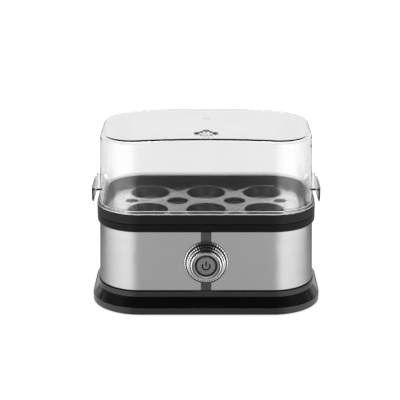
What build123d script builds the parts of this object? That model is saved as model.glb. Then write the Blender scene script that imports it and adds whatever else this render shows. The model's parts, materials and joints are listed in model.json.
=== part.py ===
from build123d import *
import math
import os

# Electric egg cooker: a clear lid on an egg tray, on a steel-wrapped base with a heated water dish.
# Millimetres, +Z up, the control faces -Y, the origin is on the floor under the middle of the body.
# Every ring of the body is one rounded rectangle, drawn in from the plinth's edge by an inset.

# Fits
overrun = 4.0  # how far a cut runs past its stock
fixed_gap = 0.1  # between fixed pieces that slip together
rib_gap = 0.2  # between a locating rib and the steel
running_gap = 0.3  # between pieces that slide or part

# Plan of the body
plinth_width = 210.4
plinth_depth = 134.0
plinth_corner_radius = 45.5

# Base plinth
foot_proud = 0.6  # feet below the flange
flange_height = 6.8
flange_edge_round = 0.7
flare_inset = 6.0
flare_foot_inset = 0.9
flare_height = 8.5
ring_proud = 0.6  # ring band outside the flare's upper edge
ring_height = 5.4
ring_edge_chamfer = 0.5
reveal_height = 0.7  # shadow gap between ring and steel
reveal_setback = 0.2
plinth_wall = 2.5
floor_thickness = 3.0
rib_height = 3.0
boss_radius = 6.0
boss_height = 9.0
vent_length = 34.0
vent_width = 3.0
vent_pitch = 9.0
vent_count = 5

# Feet
foot_radius = 7.0
foot_recess = 1.5
foot_inset = 19.0
foot_edge_round = 0.6

# Steel shell
sheet_thickness = 0.6
steel_step = 1.15  # steel's lower edge inside the ring band
steel_height = 54.9
steel_draft = 1.4  # how far the top edge is drawn in

# Upper collar
collar_overhang = 2.15  # collar outside the steel's upper edge
collar_height = 7.8
parting_chamfer = 0.35
collar_wall = 3.0
well_depth = 8.7
ledge_width = 7.0
ledge_thickness = 2.0
post_radius = 4.0
post_gap = 0.75  # between a screw post and the steel
post_setback = 9.3  # screw posts inside the corner's start

# Base screws
screw_head_radius = 3.5
screw_head_height = 2.6
screw_shank_radius = 1.7
screw_recess = 2.4
screw_engagement = 10.0
pilot_spare = 2.0

# Egg tray
tray_gap = 0.4  # between the tray's plug and the collar's well
rim_height = 9.0
rim_wall = 2.4
rim_step = 0.6  # wall thicker below the lid's lip
rim_step_drop = 3.6
rim_edge_round = 0.5
gutter_rise = 0.4  # gutter floor above the parting line
tray_floor = 2.0
deck_rise = 2.0
deck_gutter = 10.1  # between the rim's wall and the deck
column_pitch = 53.0
row_pitch = 50.0
cup_radius = 18.3
cup_foot_radius = 15.2
cup_depth = 9.0
cup_wall = 1.6
cup_edge_round = 0.7
lobe_margin = 3.0  # least deck round each cup
notch_reach = 3.3  # notch's point outside the line of cup centres
notch_round = 3.0
lobe_round = 12.0
lobe_round_limit_share = 0.9  # of the largest round that a lobe's edge takes
deck_edge_round = 0.6
middle_hole_radius = 10.1
end_hole_radius = 5.75
end_hole_reach = 16.0  # end hole outside the outer column

# Lid
lid_flange_setback = 0.3
lid_flange_height = 2.2
lid_flange_width = 2.3
lid_wall = 2.0
lid_height = 69.0  # rim to the crown's middle
lid_draft = 2.0
lid_shoulder_round = 4.0
lid_crown_radius = 1300.0
lid_lip_depth = 3.0
lid_lip_gap = 0.5
vent_rosette_setback = 24.0  # rosette's middle behind the front of the tray's rim
petal_count = 4
petal_circle_radius = 8.0
petal_radius = 3.0
bud_circle_radius = 5.8
bud_radius = 1.9
rosette_eye_radius = 1.3
gate_mark_radius = 3.0
gate_mark_depth = 0.4
gate_mark_y = 12.9
grip_length = 48.0
grip_reach = 7.6  # grip outside the lid's wall at its foot
grip_rise = 12.9  # grip's top above the rim
grip_drop = 12.6
grip_wall = 2.0
grip_edge_round = 1.6
grip_corner_round = 4.0

# Heating dish and its seal
seal_thickness = 1.0
dish_sheet = 0.8
dish_gap = 0.5
tub_gap = 2.0  # between the tub and the screw posts
tub_depth = 14.0
tub_draft = 1.5
tub_round = 5.0
stud_radius = 2.0
stud_x = 60.0
stud_spare = 2.0  # stud below its nut
dish_groove_radius = 38.0  # pressed ring round the heated zone
dish_groove_width = 2.4
dish_groove_depth = 0.4

# Heater under the dish
spreader_radius = 32.0
spreader_thickness = 3.0
element_ring_radius = 25.0
element_width = 6.0
element_height = 5.0
element_gap_angle = 40.0
pin_angle = 5.0  # pins inside the element's ends
pin_radius = 1.5
pin_length = 8.0
thermostat_radius = 8.0
thermostat_cap_radius = 6.0
thermostat_cap_height = 1.6
blade_reach = 3.0
blade_width = 4.0
blade_thickness = 0.8
fuse_radius = 2.0
fuse_length = 12.0
fuse_y = 14.0
clip_thickness = 0.8
clip_width = 6.0
clip_tab = 3.5

# Clamp bar and nuts
bar_thickness = 1.5
bar_width = 16.0
bar_gap = 0.6  # between bar and element
bar_foot = 7.0
bar_leg_gap = 1.0  # between the bar's leg and the tub
earth_setback = 20.6  # earth wire's joint on the bar, inside the stud
nut_across = 7.0
nut_height = 3.2

# Front strip and the control on it
strip_width = 9.4
backing_width = 52.0
backing_thickness = 2.4
control_drop = 1.05  # centre of the control below the middle of the steel
bezel_base_radius = 19.65
bezel_face_radius = 14.15
bezel_bore_radius = 9.5
bezel_height = 10.7
bezel_seat_depth = 0.8  # bezel's seat behind the steel's face
bezel_step_count = 4
bezel_edge_round = 0.45
bezel_dish = 1.2
flute_count = 36
flute_width = 0.45
flute_depth = 0.35
flute_margin_share = 0.12
button_radius = 8.2
button_cap_length = 9.0
button_edge_round = 0.7
button_travel = 2.5
button_sink = 0.6  # button's face behind the bezel's face
sleeve_sink = 1.6
sleeve_length = 17.0
sleeve_flange_radius = 12.0
sleeve_flange_thickness = 1.5
stem_radius = 3.0
stem_length = 4.0
switch_width = 16.0
switch_height = 9.0
switch_length = 14.0
switch_ear_width = 44.0
switch_ear_thickness = 2.0
switch_neck_radius = 5.0
switch_neck_length = 3.0
plunger_radius = 2.3
plunger_length = 12.0
standoff_x = 17.0
standoff_radius = 3.0
small_head_radius = 2.6
small_head_height = 1.8
small_shank_radius = 1.3
small_shank_length = 7.0

# Terminal block, cord gland and cord clamp
gland_post_gap = 8.0  # between the gland's flange and the rear screw post
block_y = 24.0
block_length = 30.0
block_width = 16.0
block_height = 12.0
way_pitch = 9.0
way_count = 3
way_radius = 1.9
way_height = 6.0
block_ear = 8.0
block_ear_height = 3.0
block_post_height = 4.0
gland_height = 36.0
gland_flange_radius = 8.0
gland_neck_radius = 6.0
gland_bore_radius = 3.6
gland_nose_length = 8.0
gland_nose_radius = 6.6
gland_tail_length = 5.0
gland_groove = 1.3
clamp_y = 40.0
clamp_post_pitch = 19.0
clamp_post_radius = 3.2
clamp_post_height = 7.0
clamp_width = 8.0
clamp_thickness = 3.0
clamp_saddle_radius = 4.0

# Inner wires
wire_radius = 1.2
wire_bend = 4.0
wire_run = 9.0  # straight run out of a terminal
wire_low = 30.0  # height of the low points of the wires

# Insets of the rings, from the plinth's edge
ring_inset = flare_inset - ring_proud
steel_inset = ring_inset + steel_step
steel_top_inset = steel_inset + steel_draft
cavity_inset = flare_inset + plinth_wall
collar_inset = steel_top_inset - collar_overhang
collar_rib_inset = steel_top_inset + sheet_thickness + rib_gap
well_inset = collar_inset + collar_wall
opening_inset = well_inset + ledge_width
post_inset = steel_top_inset + sheet_thickness + post_gap + post_radius
tub_inset = post_inset + post_radius + tub_gap
tray_inner_inset = collar_inset + rim_wall
deck_inset = tray_inner_inset + deck_gutter
lid_flange_inset = collar_inset + lid_flange_setback
lid_inset = lid_flange_inset + lid_flange_width
lid_lip_inset = tray_inner_inset + lid_lip_gap

# Heights above the floor
plinth_z = foot_proud
flange_z = plinth_z + flange_height
ring_z = flange_z + flare_height
ring_top_z = ring_z + ring_height
steel_z = ring_top_z + reveal_height
steel_top_z = steel_z + steel_height
parting_z = steel_top_z + collar_height
rim_z = parting_z + rim_height
floor_z = plinth_z + floor_thickness
boss_z = floor_z + boss_height
ledge_z = parting_z - well_depth
collar_underside_z = ledge_z - ledge_thickness
button_height = steel_z + steel_height / 2 - control_drop
dish_z = ledge_z + seal_thickness
tub_z = dish_z - tub_depth
spreader_z = tub_z - spreader_thickness
element_z = spreader_z - element_height
bar_z = element_z - bar_gap
gutter_z = parting_z + gutter_rise
deck_z = gutter_z + deck_rise
stud_end_z = bar_z - bar_thickness - nut_height - stud_spare
crown_z = rim_z + lid_height
grip_z = rim_z + grip_rise

# Places shared by several pieces
half_width = plinth_width / 2
half_depth = plinth_depth / 2
corner_x = half_width - plinth_corner_radius
corner_y = half_depth - plinth_corner_radius
post_x = corner_x - post_setback
post_y = half_depth - post_inset
foot_offset = (plinth_corner_radius - foot_inset) * math.cos(math.radians(45))
foot_x = corner_x + foot_offset
foot_y = corner_y + foot_offset
flare_taper = math.degrees(math.atan2(flare_inset - flare_foot_inset, flare_height))
steel_taper = math.degrees(math.atan2(steel_draft, steel_height))
lid_taper = math.degrees(math.atan2(lid_draft, lid_height))
tub_taper = math.degrees(math.atan2(tub_draft, tub_depth))
block_x = post_x - post_radius - gland_post_gap - gland_flange_radius
block_screw_pitch = block_length + block_ear
block_z = floor_z + block_post_height
pilot_radius = small_shank_radius + fixed_gap


def outline(inset, mode=Mode.ADD):
    """Plan of the body, drawn in from the plinth's edge."""
    width = plinth_width - 2 * inset
    depth = plinth_depth - 2 * inset
    return RectangleRounded(width, depth, plinth_corner_radius - inset, mode=mode)


def wall_y(height, depth_in=0):
    """Distance of the steel's front or back face from the middle, at a height."""
    drawn_in = steel_draft * (height - steel_z) / steel_height
    return half_depth - steel_inset - drawn_in - depth_in


def looking_back(distance, height):
    """Plane at the front or back, whose normal points at the viewer in front."""
    return Plane(origin=(0, distance, height), x_dir=(1, 0, 0), z_dir=(0, -1, 0))


def turning_plane(distance, height, across=0):
    """Plane for a turned profile: radius along +X, length towards the viewer in front."""
    return Plane(origin=(across, distance, height), x_dir=(1, 0, 0), z_dir=(0, 0, -1))


def from_below(height):
    """Plane for holes drilled upwards."""
    return Plane(origin=(0, 0, height), x_dir=(1, 0, 0), z_dir=(0, 0, -1))


def foot_edges(part):
    return part.faces().sort_by(Axis.Z)[0].outer_wire().edges()


def head_edges(part):
    return part.faces().sort_by(Axis.Z)[-1].outer_wire().edges()


bottom_up = (Align.CENTER, Align.CENTER, Align.MIN)
top_down = (Align.CENTER, Align.CENTER, Align.MAX)

os.makedirs("parts", exist_ok=True)

# Base plinth: flange, sloped flare, ring band and the rib that locates the steel
with BuildPart() as base_plinth:
    with BuildSketch(Plane.XY.offset(plinth_z)):
        outline(0)
    extrude(amount=flange_height)
    fillet(head_edges(base_plinth), flange_edge_round)
    with BuildSketch(Plane.XY.offset(flange_z)):
        outline(flare_foot_inset)
    extrude(amount=flare_height, taper=flare_taper)
    with BuildSketch(Plane.XY.offset(ring_z)):
        outline(ring_inset)
    extrude(amount=ring_height)
    chamfer(head_edges(base_plinth), ring_edge_chamfer)
    with BuildSketch(Plane.XY.offset(ring_top_z)):
        outline(steel_inset + reveal_setback)
    extrude(amount=reveal_height)
    with BuildSketch(Plane.XY.offset(steel_z)):
        outline(steel_inset + sheet_thickness + rib_gap)
    extrude(amount=rib_height)
    with BuildSketch(Plane.XY.offset(floor_z)):
        outline(cavity_inset)
    extrude(amount=steel_z + rib_height - floor_z, mode=Mode.SUBTRACT)
    with Locations((0, 0, floor_z)):
        with GridLocations(2 * post_x, 2 * post_y, 2, 2):
            Cylinder(boss_radius, boss_height, align=bottom_up)
    with Locations((block_x, clamp_y, floor_z)):
        with GridLocations(clamp_post_pitch, 0, 2, 1):
            Cylinder(clamp_post_radius, clamp_post_height, align=bottom_up)
    with Locations((block_x, block_y, floor_z)):
        with GridLocations(block_screw_pitch, 0, 2, 1):
            Cylinder(clamp_post_radius, block_post_height, align=bottom_up)
    with Locations(from_below(plinth_z)):
        with GridLocations(2 * post_x, 2 * post_y, 2, 2):
            CounterBoreHole(
                screw_shank_radius + fixed_gap,
                screw_head_radius + running_gap,
                screw_recess + screw_head_height,
                depth=boss_z - plinth_z,
            )
        with GridLocations(2 * foot_x, 2 * foot_y, 2, 2):
            Hole(foot_radius + fixed_gap, depth=foot_recess)
    with Locations((block_x, clamp_y, floor_z + clamp_post_height)):
        with GridLocations(clamp_post_pitch, 0, 2, 1):
            Hole(pilot_radius, depth=small_shank_length)
    with Locations((block_x, block_y, block_z)):
        with GridLocations(block_screw_pitch, 0, 2, 1):
            Hole(pilot_radius, depth=small_shank_length - block_ear_height)
    with BuildSketch(Plane.XY.offset(plinth_z)):
        with GridLocations(0, vent_pitch, 1, vent_count):
            SlotOverall(vent_length, vent_width)
    extrude(amount=floor_thickness, mode=Mode.SUBTRACT)
base_plinth.part.label = "base_plinth"
export_step(base_plinth.part, "parts/base_plinth.step")

# Rubber feet, one node each
foot_places = {
    "foot_front_left": (-foot_x, -foot_y),
    "foot_front_right": (foot_x, -foot_y),
    "foot_rear_left": (-foot_x, foot_y),
    "foot_rear_right": (foot_x, foot_y),
}
for foot_name, foot_place in foot_places.items():
    with BuildPart() as foot:
        with Locations(foot_place):
            Cylinder(foot_radius, foot_proud + foot_recess, align=bottom_up)
        fillet(foot_edges(foot), foot_edge_round)
    foot.part.label = foot_name
    export_step(foot.part, f"parts/{foot_name}.step")

# Steel shell: a tapered wrap, open at the front for the strip and round the control
with BuildPart() as steel_shell:
    with BuildSketch(Plane.XY.offset(steel_z)):
        outline(steel_inset)
    extrude(amount=steel_height, taper=steel_taper)
    with BuildSketch(Plane.XY.offset(steel_z)):
        outline(steel_inset + sheet_thickness)
    extrude(amount=steel_height, taper=steel_taper, mode=Mode.SUBTRACT)
    with BuildSketch(looking_back(-half_depth, steel_z)):
        with Locations((0, steel_height / 2)):
            Rectangle(strip_width, steel_height)
        with Locations((0, button_height - steel_z)):
            Circle(bezel_base_radius + running_gap)
    extrude(amount=-half_depth, mode=Mode.SUBTRACT)
    with BuildSketch(looking_back(half_depth, gland_height)):
        with Locations((block_x, 0)):
            Circle(gland_neck_radius + fixed_gap)
    extrude(amount=half_depth, mode=Mode.SUBTRACT)
steel_shell.part.label = "steel_shell"
export_step(steel_shell.part, "parts/steel_shell.step")

# Upper collar: band over the steel, ledge for the dish and four screw posts
with BuildPart() as upper_collar:
    with BuildSketch(Plane.XY.offset(steel_top_z)):
        outline(collar_inset)
    extrude(amount=collar_height)
    fillet(foot_edges(upper_collar), collar_overhang)
    chamfer(head_edges(upper_collar), parting_chamfer)
    with BuildSketch(Plane.XY.offset(collar_underside_z)):
        outline(collar_rib_inset)
    extrude(amount=steel_top_z - collar_underside_z)
    with BuildSketch(Plane.XY.offset(ledge_z)):
        outline(well_inset)
    extrude(amount=well_depth, mode=Mode.SUBTRACT)
    with BuildSketch(Plane.XY.offset(collar_underside_z)):
        outline(opening_inset)
    extrude(amount=parting_z - collar_underside_z, mode=Mode.SUBTRACT)
    with Locations((0, 0, boss_z)):
        with GridLocations(2 * post_x, 2 * post_y, 2, 2):
            Cylinder(post_radius, collar_underside_z - boss_z, align=bottom_up)
    with Locations(from_below(boss_z)):
        with GridLocations(2 * post_x, 2 * post_y, 2, 2):
            Hole(screw_shank_radius + fixed_gap, depth=screw_engagement + pilot_spare)
upper_collar.part.label = "upper_collar"
export_step(upper_collar.part, "parts/upper_collar.step")

# Base screws: heads in the plinth's counterbores, shanks up into the collar's posts
screw_seat_z = plinth_z + screw_recess + screw_head_height
with BuildPart() as base_screws:
    with Locations((0, 0, screw_seat_z)):
        with GridLocations(2 * post_x, 2 * post_y, 2, 2):
            Cylinder(screw_head_radius, screw_head_height, align=top_down)
            Cylinder(screw_shank_radius, boss_z + screw_engagement - screw_seat_z, align=bottom_up)
base_screws.part.label = "base_screws"
export_step(base_screws.part, "parts/base_screws.step")

# Plate seal: flat gasket between ledge and dish
with BuildPart() as plate_seal:
    with BuildSketch(Plane.XY.offset(ledge_z)):
        outline(well_inset + dish_gap)
        outline(opening_inset, mode=Mode.SUBTRACT)
    extrude(amount=seal_thickness)
plate_seal.part.label = "plate_seal"
export_step(plate_seal.part, "parts/plate_seal.step")


def tub_form(inset, depth, foot_round):
    """Drafted tub below the dish's flange, rounded at its foot."""
    with BuildPart() as form:
        with BuildSketch(Plane.XY.offset(dish_z)):
            outline(inset)
        extrude(amount=-depth, taper=tub_taper)
        fillet(foot_edges(form), foot_round)
    return form.part


# Heating dish: pressed tub with a flange on the seal and two welded studs below
tub_outside = tub_form(tub_inset, tub_depth, tub_round)
tub_inside = tub_form(tub_inset + dish_sheet, tub_depth - dish_sheet, tub_round - dish_sheet)
with BuildPart() as heating_dish:
    add(tub_outside)
    add(tub_inside, mode=Mode.SUBTRACT)
    with BuildSketch(Plane.XY.offset(dish_z)):
        outline(well_inset + dish_gap)
        outline(tub_inset + dish_sheet, mode=Mode.SUBTRACT)
    extrude(amount=dish_sheet)
    with BuildSketch(Plane.XY.offset(tub_z + dish_sheet)):
        Circle(dish_groove_radius + dish_groove_width / 2)
        Circle(dish_groove_radius - dish_groove_width / 2, mode=Mode.SUBTRACT)
    extrude(amount=-dish_groove_depth, mode=Mode.SUBTRACT)
    with Locations((0, 0, tub_z)):
        with GridLocations(2 * stud_x, 0, 2, 1):
            Cylinder(stud_radius, tub_z - stud_end_z, align=top_down)
heating_dish.part.label = "heating_dish"
export_step(heating_dish.part, "parts/heating_dish.step")

# Heat spreader: aluminium disc against the dish
with BuildPart() as heat_spreader:
    with Locations((0, 0, tub_z)):
        Cylinder(spreader_radius, spreader_thickness, align=top_down)
heat_spreader.part.label = "heat_spreader"
export_step(heat_spreader.part, "parts/heat_spreader.step")

# Heating element: open ring with a flat top and two pins pointing down
element_start = math.radians(180 + element_gap_angle / 2)
start_x = math.cos(element_start)
start_y = math.sin(element_start)
element_plane = Plane(origin=(0, 0, 0), x_dir=(start_x, start_y, 0), z_dir=(start_y, -start_x, 0))
pin_turn = math.radians(180 - element_gap_angle / 2 - pin_angle)
pin_x = element_ring_radius * math.cos(pin_turn)
pin_y = element_ring_radius * math.sin(pin_turn)
with BuildPart() as heating_element:
    with BuildSketch(element_plane):
        with Locations((element_ring_radius, element_z + element_height / 2)):
            Rectangle(element_width, element_height)
        fillet(vertices().group_by(Axis.Z)[0], element_width / 3)
    revolve(axis=Axis.Z, revolution_arc=360 - element_gap_angle)
    with Locations((pin_x, 0, element_z)):
        with GridLocations(0, 2 * pin_y, 1, 2):
            Cylinder(pin_radius, pin_length, align=top_down)
            Cylinder(pin_radius, element_height / 2, align=bottom_up)
heating_element.part.label = "heating_element"
export_step(heating_element.part, "parts/heating_element.step")

# Clamp bar: bent strip that pulls the dish down on the collar's ledge
leg_x = half_width - tub_inset + bar_leg_gap + bar_thickness / 2
bar_foot_z = collar_underside_z - bar_thickness / 2
bar_run_z = bar_z - bar_thickness / 2
with BuildPart() as clamp_bar:
    with BuildSketch(Plane.XZ):
        with BuildLine():
            FilletPolyline(
                (-leg_x - bar_foot, bar_foot_z),
                (-leg_x, bar_foot_z),
                (-leg_x, bar_run_z),
                (leg_x, bar_run_z),
                (leg_x, bar_foot_z),
                (leg_x + bar_foot, bar_foot_z),
                radius=bar_thickness,
            )
        trace(line_width=bar_thickness)
    extrude(amount=bar_width / 2, both=True)
    with Locations((0, 0, bar_z)):
        with GridLocations(2 * stud_x, 0, 2, 1):
            Hole(stud_radius + fixed_gap, depth=bar_thickness)
clamp_bar.part.label = "clamp_bar"
export_step(clamp_bar.part, "parts/clamp_bar.step")

# Clamp nuts on the dish's studs
with BuildPart() as clamp_nuts:
    with BuildSketch(Plane.XY.offset(bar_z - bar_thickness)):
        with GridLocations(2 * stud_x, 0, 2, 1):
            RegularPolygon(nut_across / 2, 6, major_radius=False)
            Circle(stud_radius + fixed_gap, mode=Mode.SUBTRACT)
    extrude(amount=-nut_height)
clamp_nuts.part.label = "clamp_nuts"
export_step(clamp_nuts.part, "parts/clamp_nuts.step")

# Thermostat: disc pressed between bar and spreader, with two blades
with BuildPart() as thermostat:
    with Locations((0, 0, bar_z)):
        Cylinder(thermostat_radius, spreader_z - thermostat_cap_height - bar_z, align=bottom_up)
    with Locations((0, 0, spreader_z)):
        Cylinder(thermostat_cap_radius, thermostat_cap_height, align=top_down)
    with Locations((0, 0, bar_z + blade_thickness)):
        Box(blade_width, 2 * (thermostat_radius + blade_reach), blade_thickness, align=bottom_up)
thermostat.part.label = "thermostat"
export_step(thermostat.part, "parts/thermostat.step")

# Thermal fuse under the spreader, and the clip that holds it there
fuse_z = spreader_z - fuse_radius - fixed_gap
with BuildPart() as thermal_fuse:
    with Locations(Plane(origin=(0, fuse_y, fuse_z), x_dir=(0, 1, 0), z_dir=(1, 0, 0))):
        Cylinder(fuse_radius, fuse_length)
    fillet(thermal_fuse.edges().filter_by(GeomType.CIRCLE), fuse_radius / 3)
thermal_fuse.part.label = "thermal_fuse"
export_step(thermal_fuse.part, "parts/thermal_fuse.step")

clip_inner = fuse_radius + fixed_gap
clip_outer = clip_inner + clip_thickness
with BuildPart() as fuse_clip:
    with BuildSketch(Plane.YZ):
        with Locations((fuse_y, fuse_z)):
            Circle(clip_outer)
            Rectangle(2 * clip_outer, clip_inner, align=(Align.CENTER, Align.MIN))
            Circle(clip_inner, mode=Mode.SUBTRACT)
            Rectangle(2 * clip_inner, clip_inner, align=(Align.CENTER, Align.MIN), mode=Mode.SUBTRACT)
        with Locations((fuse_y, spreader_z)):
            Rectangle(2 * clip_outer, clip_outer, align=(Align.CENTER, Align.MIN), mode=Mode.SUBTRACT)
        with Locations((fuse_y - clip_outer, spreader_z)):
            Rectangle(clip_tab, clip_thickness, align=(Align.MAX, Align.MAX))
        with Locations((fuse_y + clip_outer, spreader_z)):
            Rectangle(clip_tab, clip_thickness, align=(Align.MIN, Align.MAX))
    extrude(amount=clip_width / 2, both=True)
fuse_clip.part.label = "fuse_clip"
export_step(fuse_clip.part, "parts/fuse_clip.step")

# Chain of the control, along Y from the bezel's face to the switch
seat_y = -wall_y(button_height, bezel_seat_depth)
face_y = seat_y - bezel_height
cap_y = face_y + button_sink
cap_back_y = cap_y + button_cap_length
stem_end_y = cap_back_y + stem_length
neck_y = stem_end_y + button_travel + 2 * running_gap
ear_y = neck_y + switch_neck_length
switch_back_y = ear_y + switch_ear_thickness + switch_length
backing_depth = sheet_thickness + backing_thickness
backing_low = steel_z + rib_height + running_gap
backing_high = collar_underside_z - running_gap
sleeve_radius = bezel_bore_radius - fixed_gap


def front_slab(low, high, near, far, width):
    """Slab of the front wall between two heights and two depths behind the steel's face."""
    with BuildPart() as slab:
        with BuildSketch(Plane.YZ):
            with BuildLine():
                Polyline(
                    (-wall_y(low, near), low),
                    (-wall_y(high, near), high),
                    (-wall_y(high, far), high),
                    (-wall_y(low, far), low),
                    close=True,
                )
            make_face()
        extrude(amount=width / 2, both=True)
    return slab.part


# Front strip: flush face in the steel's gap, with a backing plate and two standoffs for the switch
strip_face = front_slab(steel_z, steel_top_z, 0, sheet_thickness, strip_width - 2 * fixed_gap)
strip_backing = front_slab(backing_low, backing_high, sheet_thickness, backing_depth, backing_width)
standoff_y = -wall_y(button_height, sheet_thickness + backing_thickness / 2)
with BuildPart() as front_strip:
    add(strip_face)
    add(strip_backing)
    with Locations(looking_back(ear_y, button_height)):
        with GridLocations(2 * standoff_x, 0, 2, 1):
            Cylinder(standoff_radius, ear_y - standoff_y, align=bottom_up)
            Cylinder(pilot_radius, small_shank_length, align=bottom_up, mode=Mode.SUBTRACT)
    with Locations(looking_back(seat_y, button_height)):
        Cylinder(bezel_base_radius + running_gap, half_depth, align=bottom_up, mode=Mode.SUBTRACT)
        Cylinder(sleeve_radius + fixed_gap, half_depth, mode=Mode.SUBTRACT)
front_strip.part.label = "front_strip"
export_step(front_strip.part, "parts/front_strip.step")

# Button bezel: turned steps, a dished face and fine radial flutes
control_axis = Axis((0, seat_y, button_height), (0, -1, 0))
step_height = bezel_height / bezel_step_count
step_width = (bezel_base_radius - bezel_face_radius) / (bezel_step_count - 1)
face_width = bezel_face_radius - bezel_bore_radius
flute_length = face_width * (1 - 2 * flute_margin_share)
bezel_points = [(bezel_bore_radius, 0)]
for step in range(bezel_step_count):
    step_radius = bezel_base_radius - step * step_width
    bezel_points.append((step_radius, step * step_height))
    bezel_points.append((step_radius, (step + 1) * step_height))
bezel_points.append((bezel_bore_radius, bezel_height - bezel_dish))
with BuildPart() as button_bezel:
    with BuildSketch(turning_plane(seat_y, button_height)):
        with BuildLine():
            Polyline(*bezel_points, close=True)
        make_face()
    revolve(axis=control_axis)
    for step in range(bezel_step_count):
        ridge_radius = bezel_base_radius - step * step_width
        ridge_y = seat_y - (step + 1) * step_height
        ridge_point = (ridge_radius, ridge_y, button_height)
        circles = button_bezel.edges().filter_by(GeomType.CIRCLE)
        fillet(circles.sort_by_distance(ridge_point)[0], bezel_edge_round)
    with Locations(looking_back(face_y + bezel_dish / 2, button_height)):
        with PolarLocations(bezel_bore_radius + face_width / 2, flute_count):
            Box(flute_length, flute_width, 2 * flute_depth, mode=Mode.SUBTRACT)
button_bezel.part.label = "button_bezel"
export_step(button_bezel.part, "parts/button_bezel.step")

# Button sleeve: flanged tube that guides the button
sleeve_y = face_y + sleeve_sink
sleeve_flange_y = -wall_y(button_height + sleeve_flange_radius, backing_depth)
with BuildPart() as button_sleeve:
    with Locations(looking_back(sleeve_y, button_height)):
        Cylinder(sleeve_radius, sleeve_length, align=top_down)
    with Locations(looking_back(sleeve_flange_y, button_height)):
        Cylinder(sleeve_flange_radius, sleeve_flange_thickness, align=top_down)
    with Locations(looking_back(sleeve_y, button_height)):
        Cylinder(button_radius + running_gap, sleeve_length, align=top_down, mode=Mode.SUBTRACT)
button_sleeve.part.label = "button_sleeve"
export_step(button_sleeve.part, "parts/button_sleeve.step")

# Power button: cap and stem
with BuildPart() as power_button:
    with Locations(looking_back(cap_y, button_height)):
        Cylinder(button_radius, button_cap_length, align=top_down)
    fillet(power_button.faces().sort_by(Axis.Y)[0].edges(), button_edge_round)
    with Locations(looking_back(cap_back_y, button_height)):
        Cylinder(stem_radius, stem_length, align=top_down)
power_button.part.label = "power_button"
export_step(power_button.part, "parts/power_button.step")

# Switch plunger, which moves with the button
with BuildPart() as switch_plunger:
    with Locations(looking_back(stem_end_y, button_height)):
        Cylinder(plunger_radius, plunger_length, align=top_down)
switch_plunger.part.label = "switch_plunger"
export_step(switch_plunger.part, "parts/switch_plunger.step")

# Switch body: ears on the standoffs, neck round the plunger
plunger_room = plunger_length - (neck_y - stem_end_y) + button_travel + running_gap
with BuildPart() as switch_body:
    with Locations(looking_back(ear_y, button_height)):
        Box(switch_ear_width, switch_height, switch_ear_thickness, align=top_down)
        Cylinder(switch_neck_radius, switch_neck_length, align=bottom_up)
        Box(switch_width, switch_height, switch_ear_thickness + switch_length, align=top_down)
        with GridLocations(2 * standoff_x, 0, 2, 1):
            Hole(pilot_radius, depth=switch_ear_thickness)
    with Locations(looking_back(neck_y, button_height)):
        Hole(plunger_radius + running_gap, depth=plunger_room)
switch_body.part.label = "switch_body"
export_step(switch_body.part, "parts/switch_body.step")

# Switch screws, through the ears into the standoffs
with BuildPart() as switch_screws:
    with Locations(looking_back(ear_y + switch_ear_thickness, button_height)):
        with GridLocations(2 * standoff_x, 0, 2, 1):
            Cylinder(small_head_radius, small_head_height, align=top_down)
            Cylinder(small_shank_radius, small_shank_length, align=bottom_up)
switch_screws.part.label = "switch_screws"
export_step(switch_screws.part, "parts/switch_screws.step")

# Terminal block: three ways, on two posts of the plinth
with BuildPart() as terminal_block:
    with Locations((block_x, block_y, block_z)):
        Box(block_length, block_width, block_height, align=bottom_up)
        Box(block_length + 2 * block_ear, block_width / 2, block_ear_height, align=bottom_up)
    with Locations(looking_back(block_y - block_width / 2, block_z + way_height)):
        with Locations((block_x, 0)):
            with GridLocations(way_pitch, 0, way_count, 1):
                Hole(way_radius, depth=block_width)
    with Locations((block_x, block_y, block_z + block_height)):
        with GridLocations(way_pitch, block_width / 2, way_count, 2):
            Hole(way_radius, depth=block_height - way_height)
    with Locations((block_x, block_y, block_z + block_ear_height)):
        with GridLocations(block_screw_pitch, 0, 2, 1):
            Hole(pilot_radius, depth=block_ear_height)
terminal_block.part.label = "terminal_block"
export_step(terminal_block.part, "parts/terminal_block.step")

# Small screws of the terminal block and of the cord clamp
with BuildPart() as block_screws:
    with Locations((block_x, block_y, block_z + block_ear_height)):
        with GridLocations(block_screw_pitch, 0, 2, 1):
            Cylinder(small_head_radius, small_head_height, align=bottom_up)
            Cylinder(small_shank_radius, small_shank_length, align=top_down)
block_screws.part.label = "block_screws"
export_step(block_screws.part, "parts/block_screws.step")

clamp_z = floor_z + clamp_post_height
clamp_length = clamp_post_pitch + 2 * clamp_post_radius
with BuildPart() as cord_clamp:
    with BuildSketch(Plane.XZ.offset(-clamp_y)):
        with Locations((block_x, clamp_z)):
            Circle(clamp_saddle_radius + clamp_thickness)
            Rectangle(clamp_length, clamp_thickness, align=(Align.CENTER, Align.MIN))
            Circle(clamp_saddle_radius, mode=Mode.SUBTRACT)
            Rectangle(clamp_length, clamp_length, align=(Align.CENTER, Align.MAX), mode=Mode.SUBTRACT)
    extrude(amount=clamp_width / 2, both=True)
    with Locations((block_x, clamp_y, clamp_z + clamp_thickness)):
        with GridLocations(clamp_post_pitch, 0, 2, 1):
            Hole(pilot_radius, depth=clamp_thickness)
cord_clamp.part.label = "cord_clamp"
export_step(cord_clamp.part, "parts/cord_clamp.step")

with BuildPart() as clamp_screws:
    with Locations((block_x, clamp_y, clamp_z + clamp_thickness)):
        with GridLocations(clamp_post_pitch, 0, 2, 1):
            Cylinder(small_head_radius, small_head_height, align=bottom_up)
            Cylinder(small_shank_radius, small_shank_length, align=top_down)
clamp_screws.part.label = "clamp_screws"
export_step(clamp_screws.part, "parts/clamp_screws.step")

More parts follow.
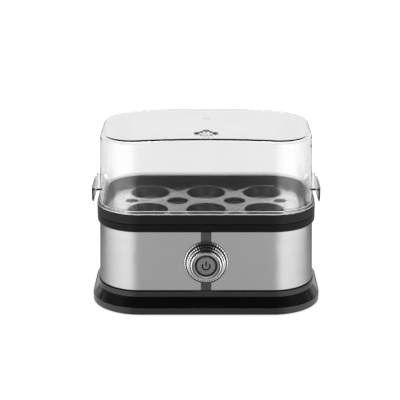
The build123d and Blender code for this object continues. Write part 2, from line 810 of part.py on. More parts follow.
# Cord gland: turned bush with a groove round the steel's back wall
gland_y = wall_y(gland_height, sheet_thickness / 2)
groove_half = gland_groove / 2
gland_axis = Axis((block_x, gland_y, gland_height), (0, 1, 0))
with BuildPart() as cord_gland:
    with BuildSketch(Plane(origin=(block_x, gland_y, gland_height), x_dir=(1, 0, 0), z_dir=(0, 0, 1))):
        with BuildLine():
            Polyline(
                (gland_bore_radius, -groove_half - gland_tail_length),
                (gland_neck_radius, -groove_half - gland_tail_length),
                (gland_flange_radius, -groove_half),
                (gland_neck_radius, -groove_half),
                (gland_neck_radius, groove_half),
                (gland_flange_radius, groove_half),
                (gland_flange_radius, groove_half + gland_nose_length / 4),
                (gland_nose_radius, groove_half + gland_nose_length),
                (gland_bore_radius, groove_half + gland_nose_length),
                close=True,
            )
        make_face()
    revolve(axis=gland_axis)
cord_gland.part.label = "cord_gland"
export_step(cord_gland.part, "parts/cord_gland.step")


def wire(name, points):
    """Insulated lead along straight runs joined by tangent arcs."""
    with BuildPart() as lead:
        with BuildLine() as route:
            FilletPolyline(*points, radius=wire_bend)
        with BuildSketch(Plane(origin=route.line @ 0, z_dir=route.line % 0)):
            Circle(wire_radius)
        sweep(path=route.line)
    lead.part.label = name
    export_step(lead.part, f"parts/{name}.step")


# Inner wires, from the block's ways and the switch's back to the element and the bar
block_front_y = block_y - block_width / 2
way_z = block_z + way_height
switch_wire_x = switch_width / 4
wire_y = block_front_y - wire_run
pin_end_z = element_z - pin_length
wire(
    "switch_feed_wire",
    [
        (block_x, block_front_y, way_z),
        (block_x, wire_y, way_z),
        (switch_wire_x, switch_back_y + wire_run, wire_low),
        (switch_wire_x, switch_back_y + wire_run, button_height),
        (switch_wire_x, switch_back_y, button_height),
    ],
)
wire(
    "element_feed_wire",
    [
        (-switch_wire_x, switch_back_y, button_height),
        (-switch_wire_x, switch_back_y + wire_run, button_height),
        (-switch_wire_x, switch_back_y + wire_run, wire_low),
        (pin_x, -pin_y, wire_low),
        (pin_x, -pin_y, pin_end_z),
    ],
)
wire(
    "element_return_wire",
    [
        (block_x - way_pitch, block_front_y, way_z),
        (block_x - way_pitch, wire_y, way_z),
        (pin_x, pin_y, wire_low),
        (pin_x, pin_y, pin_end_z),
    ],
)
earth_x = stud_x - earth_setback
wire(
    "earth_wire",
    [
        (block_x + way_pitch, block_front_y, way_z),
        (earth_x, 0, way_z),
        (earth_x, 0, bar_z - bar_thickness),
    ],
)

# Egg tray: rim band, gutter, scalloped deck, tapered cups and round holes
wall_inner_y = half_depth - tray_inner_inset
notch_y = row_pitch / 2 + notch_reach
deck_y = half_depth - deck_inset
lobe_slope = math.atan2(wall_inner_y - notch_y, column_pitch / 2)
lobe_edge = column_pitch * (wall_inner_y - deck_y) / (wall_inner_y - notch_y)
lobe_round_limit = lobe_round_limit_share * lobe_edge / 2 / math.tan(lobe_slope / 2)


def is_notch_point(corner):
    return abs(abs(corner.Y) - notch_y) < fixed_gap


def is_lobe_corner(corner):
    return abs(abs(corner.Y) - deck_y) < fixed_gap and abs(corner.X) < corner_x - fixed_gap


with BuildPart() as egg_tray:
    with BuildSketch(Plane.XY.offset(parting_z)):
        outline(collar_inset)
    extrude(amount=rim_height)
    chamfer(foot_edges(egg_tray), parting_chamfer)
    fillet(head_edges(egg_tray), rim_edge_round)
    with BuildSketch(Plane.XY.offset(gutter_z)):
        outline(tray_inner_inset + rim_step)
    extrude(amount=rim_z - gutter_z, mode=Mode.SUBTRACT)
    with BuildSketch(Plane.XY.offset(rim_z)):
        outline(tray_inner_inset)
    extrude(amount=-rim_step_drop, mode=Mode.SUBTRACT)
    with BuildSketch(Plane.XY.offset(gutter_z - tray_floor)):
        outline(well_inset + tray_gap)
    extrude(amount=tray_floor)
    with BuildSketch(Plane.XY.offset(gutter_z)):
        outline(deck_inset)
        for middle_x in (-column_pitch / 2, column_pitch / 2):
            for side in (-1, 1):
                with BuildLine():
                    Polyline(
                        (middle_x, side * notch_y),
                        (middle_x + column_pitch / 2, side * wall_inner_y),
                        (middle_x - column_pitch / 2, side * wall_inner_y),
                        close=True,
                    )
                make_face(mode=Mode.SUBTRACT)
        fillet(vertices().filter_by(is_notch_point), notch_round)
        fillet(vertices().filter_by(is_lobe_corner), min(lobe_round, lobe_round_limit))
        with GridLocations(column_pitch, row_pitch, 3, 2):
            Circle(cup_radius + lobe_margin)
    extrude(amount=deck_rise)
    with Locations((0, 0, deck_z)):
        with GridLocations(column_pitch, row_pitch, 3, 2):
            Cone(cup_foot_radius + cup_wall, cup_radius + cup_wall, cup_depth, align=top_down)
        with GridLocations(column_pitch, row_pitch, 3, 2):
            Cone(cup_foot_radius, cup_radius, cup_depth, align=top_down, mode=Mode.SUBTRACT)
    deck_face = egg_tray.faces().filter_by(Axis.Z).sort_by(Axis.Z)[-3]
    fillet([edge for rim in deck_face.inner_wires() for edge in rim.edges()], cup_edge_round)
    deck_face = egg_tray.faces().filter_by(Axis.Z).sort_by(Axis.Z)[-3]
    fillet(deck_face.outer_wire().edges(), deck_edge_round)
    with Locations((0, 0, deck_z)):
        with GridLocations(column_pitch, 0, 2, 1):
            Hole(middle_hole_radius, depth=deck_rise + tray_floor)
        with GridLocations(2 * (column_pitch + end_hole_reach), 0, 2, 1):
            Hole(end_hole_radius, depth=deck_rise + tray_floor)
egg_tray.part.label = "egg_tray"
export_step(egg_tray.part, "parts/egg_tray.step")


def lid_form(inset, top, crown_radius, shoulder_round):
    """Tapered dome over the tray: drafted sides, a shallow crown and a rounded shoulder."""
    with BuildPart() as form:
        with BuildSketch(Plane.XY.offset(rim_z)):
            outline(inset)
        extrude(amount=lid_height, taper=lid_taper)
        with Locations((0, 0, top - crown_radius)):
            Sphere(crown_radius, mode=Mode.INTERSECT)
        fillet(head_edges(form), shoulder_round)
    return form.part


# Side grip of the lid: a shelf with a downturned lip
grip_root_x = half_width - lid_inset - lid_wall / 2
grip_out_x = half_width - lid_inset + grip_reach
with BuildPart() as grip_form:
    with BuildSketch(Plane.XZ):
        with BuildLine():
            Polyline(
                (grip_root_x, grip_z),
                (grip_out_x, grip_z),
                (grip_out_x, grip_z - grip_drop),
                (grip_out_x - grip_wall, grip_z - grip_drop),
                (grip_out_x - grip_wall, grip_z - grip_wall),
                (grip_root_x, grip_z - grip_wall),
                close=True,
            )
        make_face()
        fillet(vertices().group_by(Axis.X)[-1].sort_by(Axis.Z)[-1], grip_edge_round)
    extrude(amount=grip_length / 2, both=True)
    with BuildSketch(Plane.XY.offset(grip_z - grip_drop)):
        RectangleRounded(2 * grip_out_x, grip_length, grip_corner_round)
    extrude(amount=grip_drop, mode=Mode.INTERSECT)

# Lid: clear shell with a flange on the rim, a locating lip, vents and two grips
lid_outside = lid_form(lid_inset, crown_z, lid_crown_radius, lid_shoulder_round)
lid_inside = lid_form(
    lid_inset + lid_wall,
    crown_z - lid_wall,
    lid_crown_radius - lid_wall,
    lid_shoulder_round - lid_wall,
)
rosette_y = vent_rosette_setback - half_depth + collar_inset
bud_turn = 180 / petal_count
with BuildPart() as lid:
    add(lid_outside)
    with BuildSketch(Plane.XY.offset(rim_z)):
        outline(lid_flange_inset)
    extrude(amount=lid_flange_height)
    with BuildSketch(Plane.XY.offset(rim_z)):
        outline(lid_lip_inset)
        outline(lid_inset + lid_wall, mode=Mode.SUBTRACT)
    extrude(amount=-lid_lip_depth)
    add(grip_form.part)
    add(mirror(grip_form.part, about=Plane.YZ, mode=Mode.PRIVATE))
    add(lid_inside, mode=Mode.SUBTRACT)
    with BuildSketch(Plane.XY.offset(crown_z)):
        with Locations((0, rosette_y)):
            Circle(rosette_eye_radius)
            with PolarLocations(petal_circle_radius, petal_count):
                Circle(petal_radius)
            with PolarLocations(bud_circle_radius, petal_count, start_angle=bud_turn):
                Circle(bud_radius)
    extrude(amount=-lid_wall - overrun, mode=Mode.SUBTRACT)
    with Locations((0, gate_mark_y, crown_z)):
        Cylinder(gate_mark_radius, 2 * gate_mark_depth, mode=Mode.SUBTRACT)
lid.part.label = "lid"
export_step(lid.part, "parts/lid.step")
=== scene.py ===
import json
import math

import bmesh
import bpy
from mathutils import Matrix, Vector


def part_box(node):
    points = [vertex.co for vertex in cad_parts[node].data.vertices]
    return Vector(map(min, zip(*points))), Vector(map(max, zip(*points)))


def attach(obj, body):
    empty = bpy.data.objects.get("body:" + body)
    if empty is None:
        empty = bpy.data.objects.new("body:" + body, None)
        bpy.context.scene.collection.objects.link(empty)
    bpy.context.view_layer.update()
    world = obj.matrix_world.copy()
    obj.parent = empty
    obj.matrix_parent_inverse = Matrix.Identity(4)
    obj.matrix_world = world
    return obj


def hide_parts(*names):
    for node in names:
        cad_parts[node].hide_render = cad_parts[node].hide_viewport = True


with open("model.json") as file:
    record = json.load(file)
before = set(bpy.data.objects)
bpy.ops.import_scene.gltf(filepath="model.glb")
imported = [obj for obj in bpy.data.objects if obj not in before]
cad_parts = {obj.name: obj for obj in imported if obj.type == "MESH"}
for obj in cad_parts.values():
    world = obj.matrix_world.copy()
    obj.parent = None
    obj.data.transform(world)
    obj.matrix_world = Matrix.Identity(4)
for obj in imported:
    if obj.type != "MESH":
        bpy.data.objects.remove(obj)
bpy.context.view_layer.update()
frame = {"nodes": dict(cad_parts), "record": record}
nodes = frame["nodes"]

# Camera, in metres, with lens and sensor in millimetres
camera_distance = 1.150
camera_elevation = math.radians(18.6)
camera_target = Vector((0, 0, 0.0812))
camera_lens = 110.84
camera_sensor = 36
camera_shift_x = -0.01525
camera_shift_y = 0.0163
camera_reach = 60

# Brightness of the studio, 1 is white; "through" is what is seen through the lid
backdrop_level = 1.0
back_glow_level = 0.80
through_glow_level = 2.0
through_side_level = 4.8
room_level = 0.16
ceiling_level = 0.03
through_ceiling_level = 0.55
ambient_level = 0.84
wing_level = 1.3

# Where each part of the studio begins and ends, as components of a unit direction
glow_rise = (0.02, 0.16)
back_rise = (0.35, 0.70)
ceiling_rise = (0.42, 0.66)
through_side_rise = (0.045, 0.065)
through_side_fall = (0.11, 0.16)
wing_rise = (0.25, 0.38)
wing_fall = (0.72, 0.86)
wing_top_fall = (0.40, 0.50)
wing_back_fall = (-0.20, 0.0)

# Light mirrored in one wall of the lid ends at transmission depth 2, light through two walls at 4
one_wall_depth = 2.5

# Floor: its colour, and the light it gives so that it looks white
floor_size = 24.0
floor_white = 0.86
floor_lift = 0.54
floor_through_lift = 0.175
floor_mirrored = 0.30
floor_mirrored_lift = 0.46

# Bright fans on the floor, left and right of the front, seen in the shine of the object and its lid
fan_level = 1.08
fan_through_level = 8.0
fan_apex_x = 0.068
fan_apex_y = -0.042
fan_rise = (math.radians(-4), math.radians(30))
fan_fall = (math.radians(54), math.radians(122))
fan_through_fall = (math.radians(54), math.radians(96))

# Dim floor beside and behind the object, seen in its shine
dusk_level = 0.06
dusk_turn_rise = (math.radians(100), math.radians(135))
dusk_reach_rise = (0.20, 0.28)

# Two low light panels that stand left and right of the object
panel_level = 0.7
panel_x = 0.42
panel_front = -0.75
panel_rear = 0.06
panel_height = 0.10

# Grain of the materials
grain_detail = 3.0
noise_low = 0.3
noise_high = 0.7
cloud_scale = 30
rough_variation = 0.15
haze_scale = 60
haze_roughness = 0.004

# Shading of the CAD solids
sharp_angle = math.radians(32)
weld_gap = 0.000004

# Bezel round the button: toothed steps, grooves between them filled with black rings as painted shade,
# knurled dish inside
groove_outers = (0.0188, 0.0165, 0.0150)
groove_inners = (0.0175, 0.0160, 0.0139)
groove_depth = 0.0012
bevel_slope = 0.50
crest_tooth = 0.00040
fill_sink = 0.0003
fill_gap = 0.00002
dish_outer = 0.0128
dish_inner = 0.0102
dish_lip = 0.0006
dish_depth = 0.0011
dish_tooth = 0.00060
bezel_teeth = 48
tooth_samples = 8

# White beads along the lid's flange that stand for its bright lines, painted highlights: distance in from
# its edge, height over the tray's rim, radius
lid_beads = {
    "lid_lower_highlight_bead": (0.0003, 0.00060, 0.00040),
    "lid_upper_highlight_bead": (0.0021, 0.00265, 0.00025),
}
rim_corner = 0.0397
flange_setback = 0.0003
bead_sides = 8
corner_steps = 24
quarter_turn = 90

# Power sign on the button
sign_radius = 0.0034
sign_stroke = 0.00125
sign_proud = 0.00008
sign_gap = math.radians(54)
sign_bar = 0.0045
sign_steps = 40


def place_camera():
    data = bpy.data.cameras.new("camera")
    camera = bpy.data.objects.new("camera", data)
    bpy.context.scene.collection.objects.link(camera)
    toward = Vector((0, -math.cos(camera_elevation), math.sin(camera_elevation)))
    camera.location = camera_target + toward * camera_distance
    camera.rotation_euler = (-toward).to_track_quat("-Z", "Y").to_euler()
    data.sensor_width = camera_sensor
    data.lens = camera_lens
    data.shift_x = camera_shift_x
    data.shift_y = camera_shift_y
    data.clip_end = camera_reach
    bpy.context.scene.camera = camera


def add(tree, kind, inputs=None, **settings):
    node = tree.nodes.new(kind)
    for name, value in settings.items():
        setattr(node, name, value)
    for socket, value in (inputs or {}).items():
        if isinstance(value, bpy.types.NodeSocket):
            tree.links.new(value, node.inputs[socket])
        else:
            node.inputs[socket].default_value = value
    return node


def maths(tree, operation, first, second=0.0):
    return add(tree, "ShaderNodeMath", {0: first, 1: second}, operation=operation).outputs[0]


def times(tree, first, second):
    return maths(tree, "MULTIPLY", first, second)


def ramp(tree, value, low, high, out_low, out_high):
    sockets = {"Value": value, "From Min": low, "From Max": high, "To Min": out_low, "To Max": out_high}
    return add(tree, "ShaderNodeMapRange", sockets, interpolation_type="SMOOTHSTEP").outputs["Result"]


def rising(tree, value, span):
    return ramp(tree, value, *span, 0.0, 1.0)


def falling(tree, value, span):
    return ramp(tree, value, *span, 1.0, 0.0)


def blend(tree, share, first, second):
    sockets = {"Factor": share, "A": first, "B": second}
    return add(tree, "ShaderNodeMix", sockets, data_type="FLOAT").outputs["Result"]


def parts_of(tree, coordinates):
    """Components of the texture coordinate named."""
    coords = add(tree, "ShaderNodeTexCoord")
    return add(tree, "ShaderNodeSeparateXYZ", {0: coords.outputs[coordinates]}).outputs


def light_world():
    """Studio whose brightness depends on direction and on how the light reached there."""
    world = bpy.data.worlds.new("studio")
    bpy.context.scene.world = world
    world.use_nodes = True
    world.cycles.sampling_method = "NONE"
    tree = world.node_tree
    tree.nodes.clear()
    across, back, up = parts_of(tree, "Generated")
    aside = maths(tree, "ABSOLUTE", across)
    path = add(tree, "ShaderNodeLightPath").outputs

    # Glow behind, brighter through two walls of the lid
    side = times(tree, rising(tree, aside, through_side_rise), falling(tree, aside, through_side_fall))
    through_level = blend(tree, side, through_glow_level, through_side_level)
    deep = maths(tree, "GREATER_THAN", path["Transmission Depth"], one_wall_depth)
    glow_level = blend(tree, deep, back_glow_level, through_level)
    glow = ramp(tree, up, *glow_rise, backdrop_level, glow_level)

    # Two wings in front
    wing = times(tree, rising(tree, aside, wing_rise), falling(tree, aside, wing_fall))
    wing = times(tree, wing, falling(tree, up, wing_top_fall))
    wing = times(tree, wing, falling(tree, back, wing_back_fall))

    ceiling = blend(tree, path["Is Transmission Ray"], ceiling_level, through_ceiling_level)
    level = blend(tree, wing, room_level, wing_level)
    level = blend(tree, rising(tree, back, back_rise), level, glow)
    level = blend(tree, rising(tree, up, ceiling_rise), level, ceiling)
    level = blend(tree, path["Is Diffuse Ray"], level, ambient_level)
    level = blend(tree, path["Is Camera Ray"], level, backdrop_level)
    shade = add(tree, "ShaderNodeBackground", {"Color": (1, 1, 1, 1), "Strength": level})
    add(tree, "ShaderNodeOutputWorld", {"Surface": shade.outputs[0]})


def blank_material(name):
    material = bpy.data.materials.new(name)
    material.use_nodes = True
    material.node_tree.nodes.clear()
    return material, material.node_tree


def floor_material():
    material, tree = blank_material("floor")
    path = add(tree, "ShaderNodeLightPath").outputs
    place = parts_of(tree, "Object")
    aside = maths(tree, "SUBTRACT", maths(tree, "ABSOLUTE", place["X"]), fan_apex_x)
    ahead = maths(tree, "SUBTRACT", fan_apex_y, place["Y"])
    turn = maths(tree, "ARCTAN2", aside, ahead)
    squares = maths(tree, "ADD", maths(tree, "POWER", aside, 2.0), maths(tree, "POWER", ahead, 2.0))
    reach = maths(tree, "SQRT", squares)
    start = rising(tree, turn, fan_rise)

    # Seen directly, or through the lid
    direct = times(tree, path["Is Camera Ray"], floor_lift)
    narrow = times(tree, start, falling(tree, turn, fan_through_fall))
    one_wall = maths(tree, "LESS_THAN", path["Transmission Depth"], one_wall_depth)
    behind = blend(tree, times(tree, narrow, one_wall), floor_through_lift, fan_through_level)
    through = times(tree, path["Is Transmission Ray"], behind)
    seen = maths(tree, "ADD", direct, through)

    # Mirrored in the object
    opaque = maths(tree, "SUBTRACT", 1.0, path["Is Transmission Ray"])
    mirrored = times(tree, path["Is Glossy Ray"], opaque)
    fan = times(tree, start, falling(tree, turn, fan_fall))
    dusk = times(tree, rising(tree, turn, dusk_turn_rise), rising(tree, reach, dusk_reach_rise))
    shine = blend(tree, fan, floor_mirrored_lift, fan_level)
    shine = blend(tree, dusk, shine, dusk_level)

    white = blend(tree, mirrored, floor_white, floor_mirrored)
    matt = add(tree, "ShaderNodeBsdfDiffuse", {"Color": white})
    glow = add(tree, "ShaderNodeEmission", {"Strength": blend(tree, mirrored, seen, shine)})
    shade = add(tree, "ShaderNodeAddShader", {0: matt.outputs[0], 1: glow.outputs[0]})
    add(tree, "ShaderNodeOutputMaterial", {"Surface": shade.outputs[0]})
    return material


def lay_floor():
    half = floor_size / 2
    corners = [(-half, -half, 0), (half, -half, 0), (half, half, 0), (-half, half, 0)]
    mesh = bpy.data.meshes.new("floor")
    mesh.from_pydata(corners, [], [(0, 1, 2, 3)])
    mesh.materials.append(floor_material())
    floor = bpy.data.objects.new("floor", mesh)
    bpy.context.scene.collection.objects.link(floor)


def stand_panel(name, side):
    width = panel_rear - panel_front
    data = bpy.data.lights.new(name, "AREA")
    data.shape = "RECTANGLE"
    data.size = width
    data.size_y = panel_height
    data.energy = panel_level * math.pi * width * panel_height
    lamp = bpy.data.objects.new(name, data)
    lamp.location = (side * panel_x, (panel_front + panel_rear) / 2, panel_height / 2)
    lamp.rotation_euler = Vector((-side, 0, 0)).to_track_quat("-Z", "Y").to_euler()
    lamp.visible_camera = False
    bpy.context.scene.collection.objects.link(lamp)


def start_material(name):
    material, tree = blank_material(name)
    shader = add(tree, "ShaderNodeBsdfPrincipled")
    add(tree, "ShaderNodeOutputMaterial", {"Surface": shader.outputs[0]})
    return material, tree, shader


def grain(tree, scale, stretch=(1, 1, 1)):
    coords = add(tree, "ShaderNodeTexCoord").outputs["Object"]
    mapped = add(tree, "ShaderNodeMapping", {"Vector": coords, "Scale": stretch})
    sockets = {"Vector": mapped.outputs[0], "Scale": scale, "Detail": grain_detail}
    return add(tree, "ShaderNodeTexNoise", sockets).outputs[0]


def spread(tree, noise, low, high):
    sockets = {"Value": noise, "From Min": noise_low, "From Max": noise_high, "To Min": low, "To Max": high}
    return add(tree, "ShaderNodeMapRange", sockets).outputs["Result"]


def tint(tree, noise, dark, light):
    sockets = {"Factor": spread(tree, noise, 0, 1), "A": (*dark, 1), "B": (*light, 1)}
    return add(tree, "ShaderNodeMix", sockets, data_type="RGBA").outputs["Result"]


def grained(name, colour, roughness, grain_size, variation, relief, stretch=(1, 1, 1), cloud=1):
    """Material with grain in colour, roughness and bump; the colour's grain is cloud times as coarse."""
    material, tree, shader = start_material(name)
    fine = grain(tree, 1 / grain_size, stretch)
    coarse = fine
    if cloud > 1:
        coarse = grain(tree, 1 / (grain_size * cloud), stretch)
    dark = [c * (1 - variation) for c in colour]
    light = [c * (1 + variation) for c in colour]
    rough = spread(tree, fine, roughness * (1 - rough_variation), roughness * (1 + rough_variation))
    bump = add(tree, "ShaderNodeBump", {"Height": fine, "Strength": 1.0, "Distance": relief})
    tree.links.new(tint(tree, coarse, dark, light), shader.inputs["Base Color"])
    tree.links.new(rough, shader.inputs["Roughness"])
    tree.links.new(bump.outputs[0], shader.inputs["Normal"])
    return material, shader


def plastic(name, colour, roughness, grain_size=0.0012, variation=0.12, relief=0.0000015, specular=0.5):
    material, shader = grained(name, colour, roughness, grain_size, variation, relief, cloud=cloud_scale)
    shader.inputs["Specular IOR Level"].default_value = specular
    return material


def metal(name, colour, roughness, grain_size=0.0008, variation=0.06, relief=0.000004, stretch=(1, 1, 1)):
    material, shader = grained(name, colour, roughness, grain_size, variation, relief, stretch)
    shader.inputs["Metallic"].default_value = 1.0
    return material


def brushed(name, colour, roughness):
    """Metal with long horizontal scratches."""
    scratches = {"grain_size": 0.0006, "variation": 0.05, "relief": 0.000002, "stretch": (0.012, 0.012, 1)}
    material = metal(name, colour, roughness, **scratches)
    tree = material.node_tree
    shader = tree.nodes["Principled BSDF"]
    tangent = add(tree, "ShaderNodeTangent", direction_type="RADIAL", axis="Z")
    tree.links.new(tangent.outputs[0], shader.inputs["Tangent"])
    shader.inputs["Specular Tint"].default_value = (0.45, 0.45, 0.45, 1)
    shader.inputs["Anisotropic"].default_value = 0.9
    shader.inputs["Anisotropic Rotation"].default_value = 0.25
    return material


def clear(name, dark, light):
    """Clear plastic with a trace of haze."""
    material, tree, shader = start_material(name)
    haze = grain(tree, haze_scale)
    tree.links.new(spread(tree, haze, 0, haze_roughness), shader.inputs["Roughness"])
    tree.links.new(tint(tree, haze, dark, light), shader.inputs["Base Color"])
    shader.inputs["IOR"].default_value = 1.43
    shader.inputs["Transmission Weight"].default_value = 1.0
    shader.inputs["Specular Tint"].default_value = (0.6, 0.6, 0.6, 1)
    return material


materials = {
    "black_plastic": plastic("black_plastic", (0.0016, 0.0016, 0.0018), 0.16, specular=0.62),
    "brushed_wrap": brushed("brushed_wrap", (0.53, 0.53, 0.53), 0.24),
    "strip_grey": plastic("strip_grey", (0.078, 0.078, 0.079), 0.38, grain_size=0.0006, specular=0.22),
    "chrome": metal("chrome", (0.90, 0.90, 0.91), 0.05),
    "button_grey": plastic("button_grey", (0.222, 0.222, 0.222), 0.36, grain_size=0.0005, specular=0.25),
    "clear_plastic": clear("clear_plastic", (0.965, 0.965, 0.965), (0.975, 0.975, 0.975)),
    "rubber": plastic("rubber", (0.022, 0.022, 0.022), 0.75, 0.0006, variation=0.2, relief=0.000004),
    "silicone": plastic("silicone", (0.58, 0.58, 0.56), 0.6),
    "dish_steel": metal("dish_steel", (0.60, 0.60, 0.59), 0.24, grain_size=0.0007, stretch=(0.03, 1, 1)),
    "aluminium": metal("aluminium", (0.66, 0.66, 0.67), 0.34),
    "element_steel": metal("element_steel", (0.32, 0.30, 0.28), 0.45, grain_size=0.002, variation=0.2),
    "zinc_steel": metal("zinc_steel", (0.56, 0.56, 0.53), 0.30, grain_size=0.0015, variation=0.12),
    "white_plastic": plastic("white_plastic", (0.74, 0.74, 0.71), 0.45),
    "dark_plastic": plastic("dark_plastic", (0.040, 0.036, 0.032), 0.42),
    "wire_brown": plastic("wire_brown", (0.16, 0.065, 0.03), 0.40),
    "wire_blue": plastic("wire_blue", (0.03, 0.09, 0.32), 0.40),
    "wire_green": plastic("wire_green", (0.12, 0.36, 0.08), 0.40),
}

# Finishes of single pieces that differ from their slot's
tray_plastic = plastic("tray_plastic", (0.0030, 0.0030, 0.0032), 0.18, specular=0.24)
collar_plastic = plastic("collar_plastic", (0.0030, 0.0030, 0.0032), 0.22, specular=0.15)
# Painted highlight: white for the beads along the lid's flange, which stand for its bright lines of light
painted_highlight_edge = plastic("painted_highlight_edge", (0.90, 0.90, 0.90), 0.30)
satin_chrome = metal("satin_chrome", (0.40, 0.40, 0.40), 0.22)
sign_ink = plastic("sign_ink", (0.003, 0.003, 0.003), 0.5, grain_size=0.0004, specular=0.1)


def soft_edges():
    """Geometry nodes that shade smoothly except over sharp edges."""
    group = bpy.data.node_groups.new("soft_edges", "GeometryNodeTree")
    group.interface.new_socket("Geometry", in_out="INPUT", socket_type="NodeSocketGeometry")
    group.interface.new_socket("Geometry", in_out="OUTPUT", socket_type="NodeSocketGeometry")
    start = group.nodes.new("NodeGroupInput")
    end = group.nodes.new("NodeGroupOutput")
    angle = group.nodes.new("GeometryNodeInputMeshEdgeAngle")
    angles = {"A": angle.outputs[0], "B": sharp_angle}
    hard = add(group, "FunctionNodeCompare", angles, operation="GREATER_THAN")
    faces = {"Geometry": start.outputs[0], "Shade Smooth": True}
    smooth = add(group, "GeometryNodeSetShadeSmooth", faces, domain="FACE")
    creases = {"Geometry": smooth.outputs[0], "Selection": hard.outputs[0], "Shade Smooth": False}
    sharp = add(group, "GeometryNodeSetShadeSmooth", creases, domain="EDGE")
    group.links.new(sharp.outputs[0], end.inputs[0])
    return group


edge_group = soft_edges()


def soften(piece):
    edges = piece.modifiers.new("soft_edges", "NODES")
    edges.node_group = edge_group


def dress_nodes():
    for part in frame["record"]["subparts"]:
        piece = nodes[part["node"]]
        piece.data.materials.clear()
        piece.data.materials.append(materials[part["material_slot"]])
        weld = piece.modifiers.new("weld", "WELD")
        weld.merge_threshold = weld_gap
        soften(piece)
        weighted = piece.modifiers.new("weighted", "WEIGHTED_NORMAL")
        weighted.keep_sharp = True
        weighted.mode = "FACE_AREA"
    nodes["lid"].visible_shadow = False
    nodes["egg_tray"].data.materials[0] = tray_plastic
    nodes["upper_collar"].data.materials[0] = collar_plastic


def new_piece(name, form, material, body):
    bmesh.ops.recalc_face_normals(form, faces=form.faces)
    mesh = bpy.data.meshes.new(name)
    form.to_mesh(mesh)
    form.free()
    piece = bpy.data.objects.new(name, mesh)
    bpy.context.scene.collection.objects.link(piece)
    mesh.materials.append(material)
    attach(piece, body)
    return piece


def skin(form, loops):
    """Smooth quads between each loop of points and the next, and from the last back to the first."""
    for loop, after in zip(loops, loops[1:] + loops[:1]):
        for index in range(len(loop)):
            onward = (index + 1) % len(loop)
            face = form.faces.new((loop[index], loop[onward], after[onward], after[index]))
            face.smooth = True


def lathe(name, profile, material):
    """Piece turned round the button's axis; profile rows are radius, height, tooth in and tooth back."""
    low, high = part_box("button_bezel")
    middle = (low + high) / 2
    form = bmesh.new()
    rings = []
    count = bezel_teeth * tooth_samples
    for radius, forward, across, along in profile:
        ring = []
        for index in range(count):
            turn = 2 * math.pi * index / count
            wave = 1 - abs(2 * (index % tooth_samples) / tooth_samples - 1)
            here = radius - across * wave
            x = middle.x + here * math.cos(turn)
            y = high.y - forward + along * wave
            z = middle.z + here * math.sin(turn)
            ring.append(form.verts.new((x, y, z)))
        rings.append(ring)
    skin(form, rings)
    piece = new_piece(name, form, material, "base")
    soften(piece)
    return piece


def chrome_bezel():
    """Bevelled toothed steps, grooves between them filled with black rings as painted shade, and a knurled
    dish round the button.
    """
    low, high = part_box("button_bezel")
    depth = high.y - low.y
    crests = ((high.x - low.x) / 2, *groove_inners)
    ends = (*groove_outers, dish_outer)
    step_height = depth / len(crests)
    profile = [(crests[0], 0, 0, 0)]
    for step, (crest, end) in enumerate(zip(crests, ends)):
        head = (step + 1) * step_height
        foot = head - groove_depth
        profile.append((crest, head - (crest - end) * bevel_slope, crest_tooth, 0))
        profile += [(end, head, 0, 0), (end, foot, 0, 0)]
        if step == len(groove_inners):
            break
        after = groove_inners[step]
        profile.append((after, foot, 0, 0))
        # Painted shade: a black ring sunk in the groove, where the groove would only be in shade
        black = [
            (end - fill_gap, head - fill_sink, 0, 0),
            (after + fill_gap, head - fill_sink, 0, 0),
            (after + fill_gap, foot + fill_gap, 0, 0),
            (end - fill_gap, foot + fill_gap, 0, 0),
        ]
        lathe(f"bezel_groove_shade_{step + 1}", black, materials["black_plastic"])
    profile += [(dish_inner, depth - groove_depth, 0, 0), (dish_inner, 0, 0, 0)]
    bezel = lathe("chrome_bezel", profile, materials["chrome"])
    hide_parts("button_bezel")
    knurl = [
        (dish_outer - fill_gap, depth - fill_sink, 0, dish_tooth),
        (dish_inner + dish_lip, depth - dish_depth, 0, dish_tooth),
        (dish_inner, depth - dish_depth, 0, 0),
        (dish_inner, depth - groove_depth + fill_gap, 0, 0),
        (dish_outer - fill_gap, depth - groove_depth + fill_gap, 0, 0),
    ]
    lathe("bezel_knurl", knurl, satin_chrome)


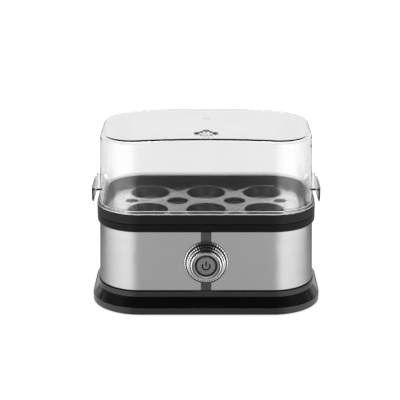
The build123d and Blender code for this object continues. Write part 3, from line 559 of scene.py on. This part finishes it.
def rounded_plan(half_width, half_depth, corner):
    """Points round a rectangle with round corners, each with its outward direction."""
    points = []
    for index, (side_x, side_y) in enumerate(((1, 1), (-1, 1), (-1, -1), (1, -1))):
        for step in range(corner_steps + 1):
            turn = math.radians(quarter_turn * index + quarter_turn * step / corner_steps)
            x = side_x * (half_width - corner) + corner * math.cos(turn)
            y = side_y * (half_depth - corner) + corner * math.sin(turn)
            points.append((x, y, math.cos(turn), math.sin(turn)))
    return points


def edge_bead(name, setback, height, radius):
    """White bead along an edge of the lid's flange: a painted highlight line."""
    low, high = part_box("egg_tray")
    half_width = (high.x - low.x) / 2 - flange_setback - setback
    half_depth = (high.y - low.y) / 2 - flange_setback - setback
    corner = rim_corner - flange_setback - setback
    form = bmesh.new()
    loops = []
    for x, y, out_x, out_y in rounded_plan(half_width, half_depth, corner):
        loop = []
        for side in range(bead_sides):
            turn = 2 * math.pi * side / bead_sides
            reach = radius * math.cos(turn)
            rise = radius * math.sin(turn)
            loop.append(form.verts.new((x + out_x * reach, y + out_y * reach, high.z + height + rise)))
        loops.append(loop)
    skin(form, loops)
    new_piece(name, form, painted_highlight_edge, "lid")


def power_sign():
    """Open ring and bar, a little proud of the button's face."""
    low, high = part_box("power_button")
    middle = (low + high) / 2
    half = sign_stroke / 2
    form = bmesh.new()

    def slab(points):
        front = [form.verts.new((middle.x + x, low.y - sign_proud, middle.z + z)) for x, z in points]
        back = [form.verts.new((middle.x + x, low.y + sign_proud, middle.z + z)) for x, z in points]
        form.faces.new(front)
        form.faces.new(back[::-1])
        for index in range(len(points)):
            onward = (index + 1) % len(points)
            form.faces.new((front[onward], front[index], back[index], back[onward]))

    inner = []
    outer = []
    for step in range(sign_steps + 1):
        turn = math.pi / 2 + sign_gap + (2 * math.pi - 2 * sign_gap) * step / sign_steps
        inner.append((math.cos(turn) * (sign_radius - half), math.sin(turn) * (sign_radius - half)))
        outer.append((math.cos(turn) * (sign_radius + half), math.sin(turn) * (sign_radius + half)))
    slab(inner + outer[::-1])
    slab([(-half, 0), (half, 0), (half, sign_bar), (-half, sign_bar)])
    new_piece("power_sign", form, sign_ink, "power_button")


place_camera()
light_world()
lay_floor()
stand_panel("panel_left", -1)
stand_panel("panel_right", 1)
dress_nodes()
power_sign()
chrome_bezel()
for bead_name, bead_sizes in lid_beads.items():
    edge_bead(bead_name, *bead_sizes)

bpy.context.scene.view_settings.view_transform = "Standard"
